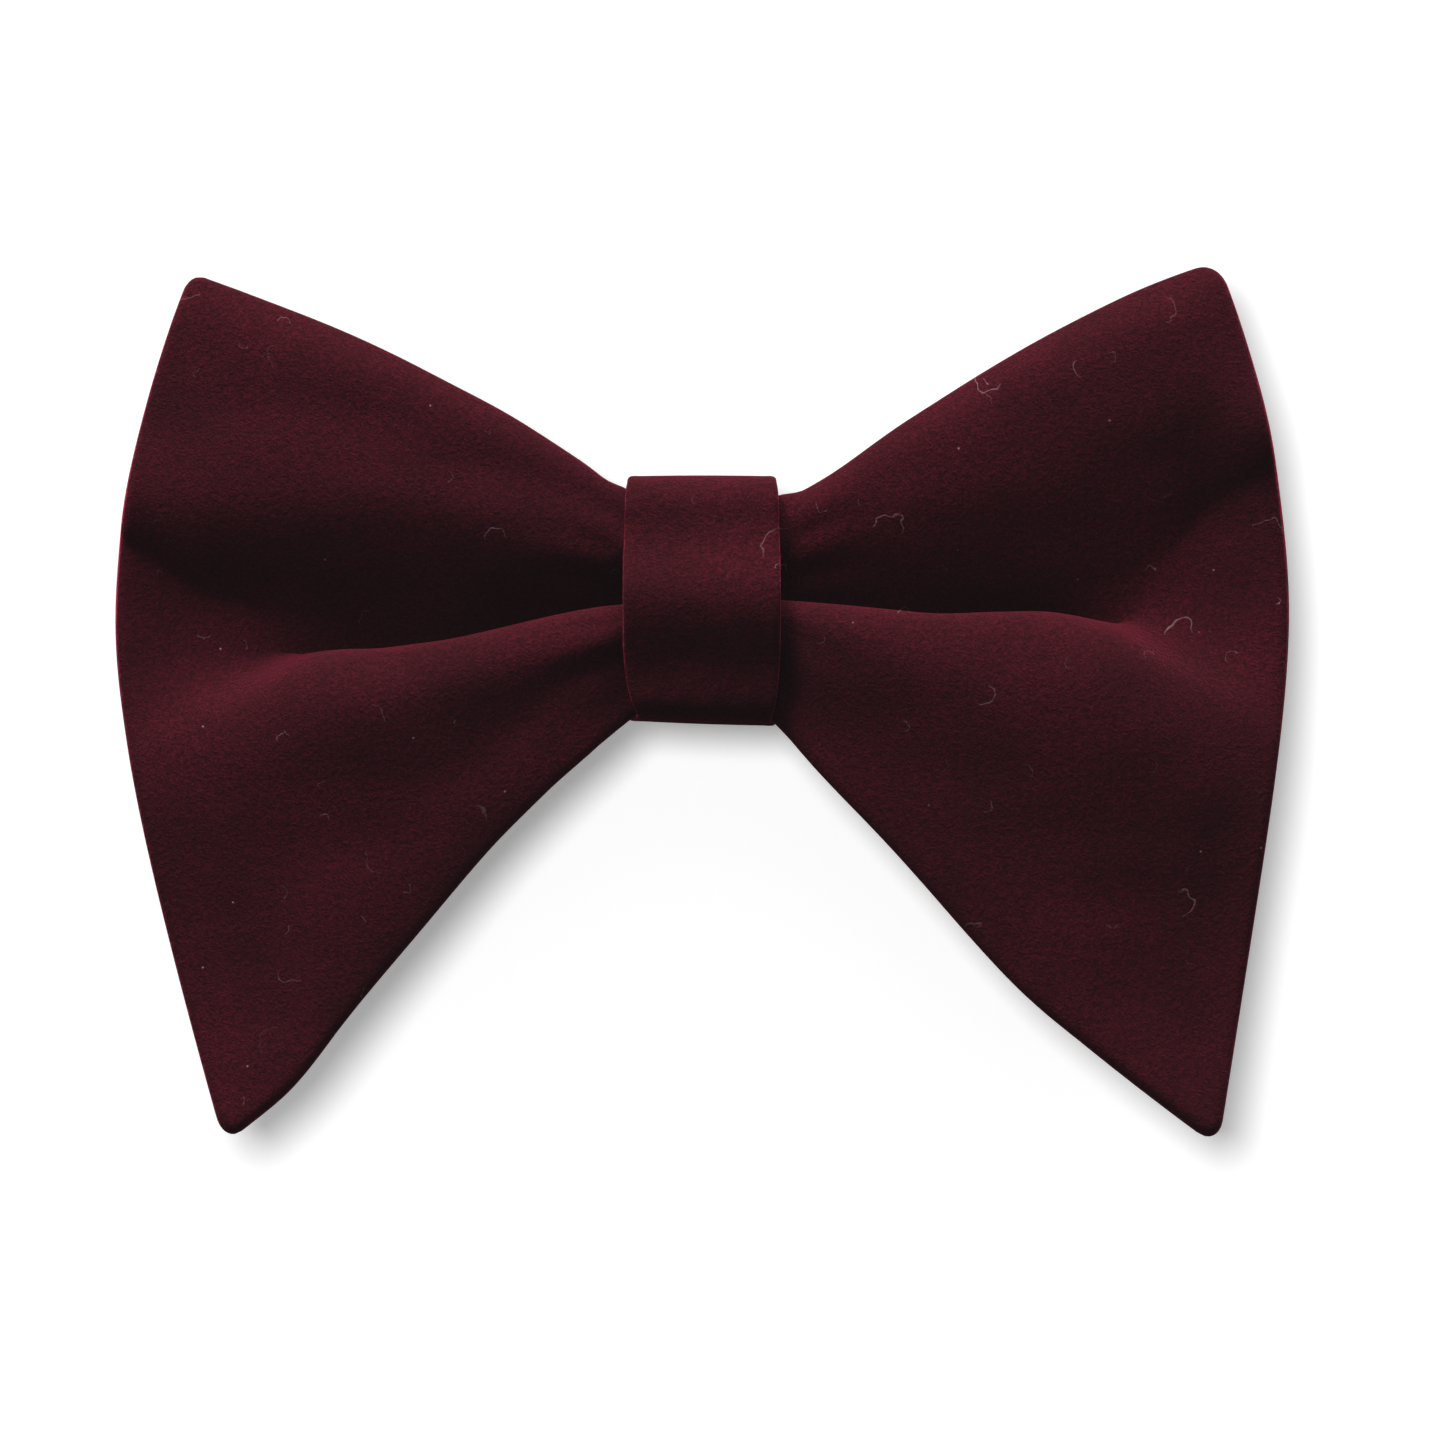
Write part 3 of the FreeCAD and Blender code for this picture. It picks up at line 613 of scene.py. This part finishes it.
def make_bow():
    """The two velvets, which share their edge, and the interlining between them."""
    grid, normal, height, half = finished_grid()
    velvet_depth = np.minimum(VELVET, half * (1 - INTERLINING_SHARE))
    room = np.maximum(height - velvet_depth, np.minimum(height, SEAM_ROOM))
    for name, way in (("front_velvet", 1), ("back_velvet", -1)):
        outer = grid + normal * (way * height)[..., None]
        inner = grid + normal * (way * room)[..., None]
        if way < 0:
            outer, inner = outer[:, ::-1], inner[:, ::-1]
        panel = shell(name, outer, inner, WING_VELVET)
        declare(panel, "root", name + "_panel")
    middle = slice(INTERLINING_MARGIN, -INTERLINING_MARGIN)
    core = grid[middle, middle]
    lift = (normal * (room * INTERLINING_FILL)[..., None])[middle, middle]
    canvas = shell("interlining", core + lift, core - lift, CANVAS)
    declare(canvas, "root", "bow_interlining")


make_bow()


# ---------------------------------------------------------------------------------------- knot band

BAND_HALF_HEIGHT = 15.2      # of the strip's middle
BAND_FRONT = 14.4
BAND_BACK = 0.45
BAND_CORNER = 3.8
BAND_CROWN = 1.7             # how far its front stands forward in the middle
BAND_BULGE = 1.8             # how much further the bulge does, a little above the middle
# The bulge's middle and its reach up and down, as shares of the straight front's half height
BULGE_PLACE = 0.05
BULGE_REACH_UP = 0.38
BULGE_REACH_DOWN = 0.62
BAND_LEFT = -9.8
BAND_RIGHT = 9.75
BAND_BACK_DRAWN = 0.5        # how far each side draws in behind, and at the bottom of the front
BAND_LOW_LEFT_DRAWN = 1.3
BAND_LOW_RIGHT_DRAWN = 0.7
BAND_SWELL = 0.30            # how much the middle of its width swells
BAND_SIDE_SWELL = 0.10       # how much the folds at its sides do, and where, as shares of half its width
BAND_SIDE_PLACE = 0.93
BAND_SIDE_REACH = 0.04
INSIDE_SWELL = 0.3           # share of the swelling that the inner layers take
BACK_SWELL = 0.35            # share of it that is left at the band's back
BAND_END_TUCK = 0.45         # how far its ends are pressed in at the seam, over how many sections
BAND_END_SECTIONS = 6
BAND_SKEW = 0.035            # how much its bottom edge slopes, and the drop at which it does so fully
SKEW_DROP = 15
# The depth at which the strip's front begins, and the height and the depth at which its low front
# does, each with the distance over which it comes in
FACE_FROM = 12
FACE_FADE = 4
LOW_FROM = 7
LOW_FADE = 8
LOW_DEPTH_FROM = 6
LOW_DEPTH_FADE = 6
BAND_SECTIONS = 240
BAND_WAVES = ((0.10, 14, 21), (0.03, 4, 22))     # height, mean wavelength and seed
WAVES_FROM_DEPTH = 8
LAYER_HALF_GAP = 0.33        # from the strip's middle to each folded layer's middle
LAYER_THICKNESS = 0.52
CUT_EDGES_HALF_GAP = 0.22    # between the strip's two cut edges, which nearly meet inside
BAND_SEAM_HEIGHT = -6.0
LINING_INSET = 0.82          # from the strip's middle to the lining's
LINING_HALF_WIDTH = 8.0
LINING_THICKNESS = 0.25
LINING_SECTIONS = 160
LINING_WAVES = ((0.04, 9, 23),)


def band_path(count):
    """The knot band's closed middle line as (y, z), from the seam down and round the bottom first."""
    parts = []
    straight = BAND_HALF_HEIGHT - BAND_CORNER
    back, front = -BAND_BACK - BAND_CORNER, -BAND_FRONT + BAND_CORNER
    steps = np.linspace(0, math.pi / 2, 13)
    centres = ((back, -straight), (front, -straight), (front, straight), (back, straight))
    for quarter, (y, z) in enumerate(centres):
        angle = -(steps + quarter * math.pi / 2)
        turn = np.stack([np.cos(angle), np.sin(angle)], axis=1)
        parts.append(turn * BAND_CORNER + (y, z))
        if quarter == 1:
            rise = np.linspace(-1, 1, 41)[1:-1]
            bulge_reach = np.where(rise > BULGE_PLACE, BULGE_REACH_UP, BULGE_REACH_DOWN)
            bulge = BAND_BULGE * np.exp(-((rise - BULGE_PLACE) / bulge_reach) ** 2)
            face = -BAND_FRONT - BAND_CROWN * (0.5 + 0.5 * np.cos(math.pi * rise)) - bulge
            parts.append(np.stack([face, rise * straight], axis=1))
    seam = [[-BAND_BACK, BAND_SEAM_HEIGHT]]
    loop = np.concatenate([seam] + parts + [seam])
    length = np.concatenate([[0], np.cumsum(np.linalg.norm(np.diff(loop, axis=0), axis=1))])
    places = np.linspace(0, length[-1], count)
    path = np.stack([np.interp(places, length, loop[:, k]) for k in (0, 1)], axis=1)
    for _ in range(6):
        path[1:-1] = (path[:-2] + 2 * path[1:-1] + path[2:]) / 4
    return path


def strip_section(half_width):
    """The folded strip's section, as (across, outwards): face, folds and the two halves of its inside."""
    gap = LAYER_HALF_GAP
    flat_half = half_width - gap
    turn = np.linspace(math.pi / 2, -math.pi / 2, 11)[1:-1]
    inner = np.linspace(CUT_EDGES_HALF_GAP, flat_half, 22)
    points = [(-x, -gap) for x in inner]
    points += [(-flat_half - gap * math.cos(a), -gap * math.sin(a)) for a in turn]
    points += [(x, gap) for x in np.linspace(-flat_half, flat_half, 50)]
    points += [(flat_half + gap * math.cos(a), gap * math.sin(a)) for a in turn]
    points += [(x, -gap) for x in inner[::-1]]
    middle = np.array(points)
    tangent = np.gradient(middle, axis=0)
    tangent /= np.linalg.norm(tangent, axis=1, keepdims=True)
    side = np.stack([-tangent[:, 1], tangent[:, 0]], axis=1) * LAYER_THICKNESS / 2
    return np.concatenate([middle + side, (middle - side)[::-1]])


def band_line(count):
    """The knot band's middle line with the direction out of its loop at each point."""
    path = band_path(count)
    tangent = np.gradient(path, axis=0)
    tangent /= np.linalg.norm(tangent, axis=1, keepdims=True)
    return path, np.stack([-tangent[:, 1], tangent[:, 0]], axis=1)


def swept_strip(name, rings, material):
    """A closed strip from its sections' rings, each of which goes along its outer side and back inside."""
    count, ring = len(rings), len(rings[0])
    faces = []
    for k in range(count - 1):
        for i in range(ring):
            j = (i + 1) % ring
            faces.append((k * ring + i, k * ring + j, (k + 1) * ring + j, (k + 1) * ring + i))
    for start in (0, (count - 1) * ring):
        for i in range(ring // 2 - 1):
            quad = (start + i, start + i + 1, start + ring - 2 - i, start + ring - 1 - i)
            faces.append(quad[::-1] if start == 0 else quad)
    return mesh_object(name, np.concatenate(rings), faces, material)


def make_band():
    """The velvet strip wound round the bunch, with its sides folded in."""
    path, outward = band_line(BAND_SECTIONS)
    rings = []
    for k, (y, z) in enumerate(path):
        front = np.clip((-y - FACE_FROM) / FACE_FADE, 0, 1)
        low = np.clip((-z - LOW_FROM) / LOW_FADE, 0, 1.1) ** 2
        low *= np.clip((-y - LOW_DEPTH_FROM) / LOW_DEPTH_FADE, 0, 1)
        behind = BAND_BACK_DRAWN * (1 - front)
        left = BAND_LEFT + behind + BAND_LOW_LEFT_DRAWN * low
        right = BAND_RIGHT - behind - BAND_LOW_RIGHT_DRAWN * low
        half_width = (right - left) / 2
        section = strip_section(half_width)
        across, out = section[:, 0], section[:, 1]
        share = across / half_width
        swell = BAND_SWELL * (1 - share ** 2)
        swell += BAND_SIDE_SWELL * np.exp(-((np.abs(share) - BAND_SIDE_PLACE) / BAND_SIDE_REACH) ** 2)
        swell *= BACK_SWELL + (1 - BACK_SWELL) * front
        out = out + np.where(out > 0, swell, swell * INSIDE_SWELL)
        from_end = min(k, BAND_SECTIONS - 1 - k) / BAND_END_SECTIONS
        out = out - BAND_END_TUCK * np.clip(1 - from_end, 0, 1) ** 2 * (out > 0)
        skew = BAND_SKEW * across * np.clip(-z / SKEW_DROP, 0, 1)
        place = across + (left + right) / 2
        out_y, out_z = outward[k]
        rings.append(np.stack([place, y + out_y * out, z + out_z * out - skew], axis=1))
    rings = np.array(rings)
    rings[..., 1] += waves(rings, BAND_WAVES) * (rings[..., 1] < -WAVES_FROM_DEPTH)
    band = swept_strip("knot_band_velvet", rings, BAND_VELVET)
    declare(band, "root", "knot_band")


def make_band_lining():
    """A flat satin strip along the band's inside."""
    path, outward = band_line(LINING_SECTIONS)
    middle = path - outward * LINING_INSET
    across = np.linspace(-LINING_HALF_WIDTH, LINING_HALF_WIDTH, 30)
    rings = []
    for (y, z), (out_y, out_z) in zip(middle[1:-1], outward[1:-1]):
        sides = []
        for place, lift in ((across, LINING_THICKNESS / 2), (across[::-1], -LINING_THICKNESS / 2)):
            level = np.ones_like(place)
            sides.append(np.stack([place, level * (y + out_y * lift), level * (z + out_z * lift)], axis=1))
        rings.append(np.concatenate(sides))
    rings = np.array(rings)
    rings[..., 1] += waves(rings, LINING_WAVES)
    lining = swept_strip("knot_band_satin", rings, SATIN)
    declare(lining, "root", "knot_band_lining")


make_band()
make_band_lining()

# -------------------------------------------------------------------------- threads, springs, metal


def tube(path, radius, sides):
    """A round rod's vertices and faces along a path of points, closed at both ends."""
    path = np.asarray(path, float)
    tangent = np.gradient(path, axis=0)
    tangent /= np.linalg.norm(tangent, axis=1, keepdims=True)
    normal = np.cross(tangent[0], (0.31, 0.17, 0.93))
    rings = []
    for point, along_path in zip(path, tangent):
        normal = normal - along_path * (normal @ along_path)
        normal /= np.linalg.norm(normal)
        other = np.cross(along_path, normal)
        angles = np.arange(sides) * 2 * math.pi / sides
        around = np.cos(angles)[:, None] * normal + np.sin(angles)[:, None] * other
        rings.append(point + radius * around)
    vertices = np.concatenate(rings + [path[:1], path[-1:]])
    faces = []
    for k in range(len(path) - 1):
        for i in range(sides):
            j = (i + 1) % sides
            faces.append((k * sides + i, k * sides + j, (k + 1) * sides + j, (k + 1) * sides + i))
    first, last = len(path) * sides, len(path) * sides + 1
    for i in range(sides):
        j = (i + 1) % sides
        faces.append((first, j, i))
        faces.append((last, (len(path) - 1) * sides + i, (len(path) - 1) * sides + j))
    return vertices, faces


def joined(name, parts, material):
    """One object from several tubes."""
    vertices, faces, offset = [], [], 0
    for part_vertices, part_faces in parts:
        vertices.append(part_vertices)
        faces += [tuple(i + offset for i in face) for face in part_faces]
        offset += len(part_vertices)
    return mesh_object(name, np.concatenate(vertices), faces, material)


STITCH_COUNT = 7
STITCH_PITCH = 2.5
STITCH_REACH = 0.85          # half its height, across the seam
STITCH_DEPTH = 0.5           # how far its ends sink into the velvet
STITCH_SLANT = 0.5
PLY_RADIUS = 0.10
PLY_OFFSET = 0.085
PLY_TURNS = 2.6


def make_seam_stitches():
    """Two-ply slip stitches across the seam at the band's back."""
    parts = []
    for number in range(STITCH_COUNT):
        x = (number - (STITCH_COUNT - 1) / 2) * STITCH_PITCH
        t = np.linspace(-1, 1, 40)
        depth = 0.14 + STITCH_DEPTH * t ** 4
        line = np.stack([x + STITCH_SLANT * t, -depth, BAND_SEAM_HEIGHT + STITCH_REACH * t], axis=1)
        for ply in (0, math.pi):
            turn = t * PLY_TURNS * math.pi + ply
            twist = np.stack([np.cos(turn), np.sin(turn), -0.6 * np.cos(turn)], axis=1)
            parts.append(tube(line + PLY_OFFSET * twist, PLY_RADIUS, 8))
    stitches = joined("seam_slip_stitches", parts, THREAD)
    declare(stitches, "root", "band_seam_stitches")


make_seam_stitches()

SPRING_WIRE = 0.25           # radius
SPRING_RADIUS = 1.3
SPRING_TURNS = 4
SPRING_PITCH = 0.62
SPRING_LEG = 4.0
COIL_POINTS = 200
LEG_POINTS = 14
TAIL_TILT = math.radians(26)
BASE_LEG_TILT = math.radians(12)


def make_spring(joint):
    """A torsion spring coiled at the hinge, with a straight leg out of each end of its coil."""
    side = joint["name"].split("_")[0]
    pivot = np.array(joint["pos_m"]) / MM
    way = 1 if side == "right" else -1
    turned = 2 * math.pi * SPRING_TURNS + math.pi - TAIL_TILT - BASE_LEG_TILT
    length = SPRING_PITCH * turned / (2 * math.pi)
    angle = BASE_LEG_TILT - math.pi / 2 + np.linspace(0, turned, COIL_POINTS)
    rise = np.linspace(0, length, COIL_POINTS)
    coil = np.stack([SPRING_RADIUS * np.cos(angle), SPRING_RADIUS * np.sin(angle), rise], axis=1)
    reach = np.linspace(SPRING_LEG, 0, LEG_POINTS, endpoint=False)[:, None]
    low = coil[0] + reach * np.array([math.sin(angle[0]), -math.cos(angle[0]), 0])
    high = coil[-1] + reach[::-1] * np.array([-math.sin(angle[-1]), math.cos(angle[-1]), 0])
    path = np.concatenate([low, coil, high]) - (0, 0, length / 2)
    path[:, 0] *= way
    vertices, faces = tube(path + pivot, SPRING_WIRE, 12)
    if way < 0:
        faces = [face[::-1] for face in faces]
    spring = mesh_object(side + "_torsion_spring", vertices, faces, SPRING_STEEL)
    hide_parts(side + "_clip_spring")
    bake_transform(spring)


for hinge in frame["joints"]:
    make_spring(hinge)

NODE_MATERIALS = {"waist_binding_thread": THREAD, "bridge_plate": NICKEL}
for clip_side in ("right", "left"):
    NODE_MATERIALS[clip_side + "_clip_base"] = NICKEL
    NODE_MATERIALS[clip_side + "_clip_lever"] = NICKEL
    NODE_MATERIALS[clip_side + "_hinge_pin"] = PIN_STEEL
    NODE_MATERIALS[clip_side + "_clip_rivets"] = PIN_STEEL
for node_name, node_material in NODE_MATERIALS.items():
    for material_slot in frame["nodes"][node_name].material_slots:
        material_slot.material = node_material


# ------------------------------------------------------------------------- stage, lights and camera

CENTRE = [(CAD_BOX[0][k] + CAD_BOX[1][k]) / 2 for k in range(3)]
WALL_GAP = 0.010             # behind the rearmost point
FLOOR_DROP = 0.046           # below the lowest point


def stage_material(name, colour, glow, one_sided):
    material, tree, shader = new_material(name)
    shader.inputs["Base Color"].default_value = colour
    shader.inputs["Roughness"].default_value = 0.95
    shader.inputs["Specular IOR Level"].default_value = 0.0
    shader.inputs["Emission Color"].default_value = (1, 1, 1, 1)
    shader.inputs["Emission Strength"].default_value = glow
    if one_sided:
        clear = node(tree, "ShaderNodeBsdfTransparent")
        back = node(tree, "ShaderNodeNewGeometry").outputs["Backfacing"]
        mix = node(tree, "ShaderNodeMixShader", {0: back, 1: shader.outputs[0], 2: clear.outputs[0]})
        output = [n for n in tree.nodes if n.type == "OUTPUT_MATERIAL"][0]
        tree.links.new(mix.outputs[0], output.inputs[0])
    return material


def flat_sheet(name, corners, material):
    sheet = mesh_object(name, np.array(corners) / MM, [(0, 1, 2, 3)], material, smooth=False)
    sheet.visible_diffuse = False
    sheet.visible_glossy = False
    return sheet


def make_stage():
    """A pale wall behind the bow, which is clear from behind, and a pale floor."""
    wall_y = CAD_BOX[1][1] + WALL_GAP
    floor_z = CAD_BOX[0][2] - FLOOR_DROP
    paper = stage_material("backdrop_paper", (0.88, 0.88, 0.88, 1), 0.27, True)
    wall = flat_sheet("backdrop", [(-1.5, wall_y, floor_z), (1.5, wall_y, floor_z),
                                   (1.5, wall_y, 1.5), (-1.5, wall_y, 1.5)], paper)
    ground = stage_material("floor_paper", (0.85, 0.85, 0.85, 1), 0.0, False)
    flat_sheet("floor", [(-2, -2.5, floor_z), (2, -2.5, floor_z),
                         (2, 2.5, floor_z), (-2, 2.5, floor_z)], ground)
    return wall


def make_world():
    """Soft light, mostly from above, with a paler room for metal to mirror and plain white to see."""
    world = bpy.data.worlds.new("studio")
    world.use_nodes = True
    tree = world.node_tree
    background = tree.nodes["Background"]
    place = node(tree, "ShaderNodeTexCoord").outputs["Generated"]
    height = node(tree, "ShaderNodeSeparateXYZ", {0: place}).outputs["Z"]
    sky = spread(tree, height, -0.15, 0.9, 0.03, 1.0)
    mirrored = spread(tree, height, -0.5, 0.7, 0.16, 0.95)
    ray = node(tree, "ShaderNodeLightPath").outputs
    sky = mixed(tree, ray["Is Glossy Ray"], sky, mirrored)
    tree.links.new(mixed(tree, ray["Is Camera Ray"], sky, (1, 1, 1, 1)), background.inputs["Color"])
    background.inputs["Strength"].default_value = 0.95
    bpy.context.scene.world = world


def area_lamp(name, place, size, power):
    """A round lamp that points at the bow's centre."""
    light = bpy.data.lights.new(name, "AREA")
    light.shape = "DISK"
    light.size = size
    light.energy = power
    lamp = bpy.data.objects.new(name, light)
    lamp.location = place
    toward = np.array(CENTRE) - np.array(place)
    pitch = math.atan2(math.hypot(toward[0], toward[1]), -toward[2])
    lamp.rotation_euler = (pitch, 0, math.atan2(toward[1], toward[0]) - math.pi / 2)
    bpy.context.scene.collection.objects.link(lamp)
    return lamp


# Name, place and size in metres, and power in watts
WALL_LAMPS = (("backdrop_lamp", (-0.15, -1.75, 0.13), 0.34, 22),)
LAMPS = (("key", (-0.38, -0.55, 1.2), 0.45, 31),
         ("overhead", (0.10, -0.10, 1.20), 0.6, 22),
         ("front_fill", (-0.2, -2.0, 0.3), 1.0, 4),
         ("rear_key", (0.75, 1.3, 0.95), 0.7, 55),
         ("rear_fill", (-0.9, 1.5, 0.2), 1.2, 30))


def make_lights(wall):
    """One lamp draws the bow's shadow on the wall, and the others light everything else."""
    wall_only = bpy.data.collections.new("wall_only")
    all_but_wall = bpy.data.collections.new("all_but_wall")
    wall_only.objects.link(wall)
    all_but_wall.objects.link(wall)
    all_but_wall.collection_objects[0].light_linking.link_state = "EXCLUDE"
    for lamp in WALL_LAMPS:
        area_lamp(*lamp).light_linking.receiver_collection = wall_only
    for lamp in LAMPS:
        area_lamp(*lamp).light_linking.receiver_collection = all_but_wall


FRAME_WIDTH = 0.1853         # what the picture spans at the bow
VIEW_DISTANCE = 1.3
VIEW_OFFSET = (0.0026, -0.0026)     # across and up, from the bow's centre


def make_camera():
    camera = bpy.data.cameras.new("camera")
    camera.sensor_width = 36
    camera.lens = camera.sensor_width * VIEW_DISTANCE / FRAME_WIDTH
    eye = bpy.data.objects.new("camera", camera)
    eye.location = (CENTRE[0] + VIEW_OFFSET[0], CENTRE[1] - VIEW_DISTANCE, CENTRE[2] + VIEW_OFFSET[1])
    eye.rotation_euler = (math.pi / 2, 0, 0)
    camera.clip_end = 20
    bpy.context.scene.collection.objects.link(eye)
    bpy.context.scene.camera = eye


WALL = make_stage()
make_world()
make_lights(WALL)
make_camera()
bpy.context.scene.view_settings.view_transform = "Standard"
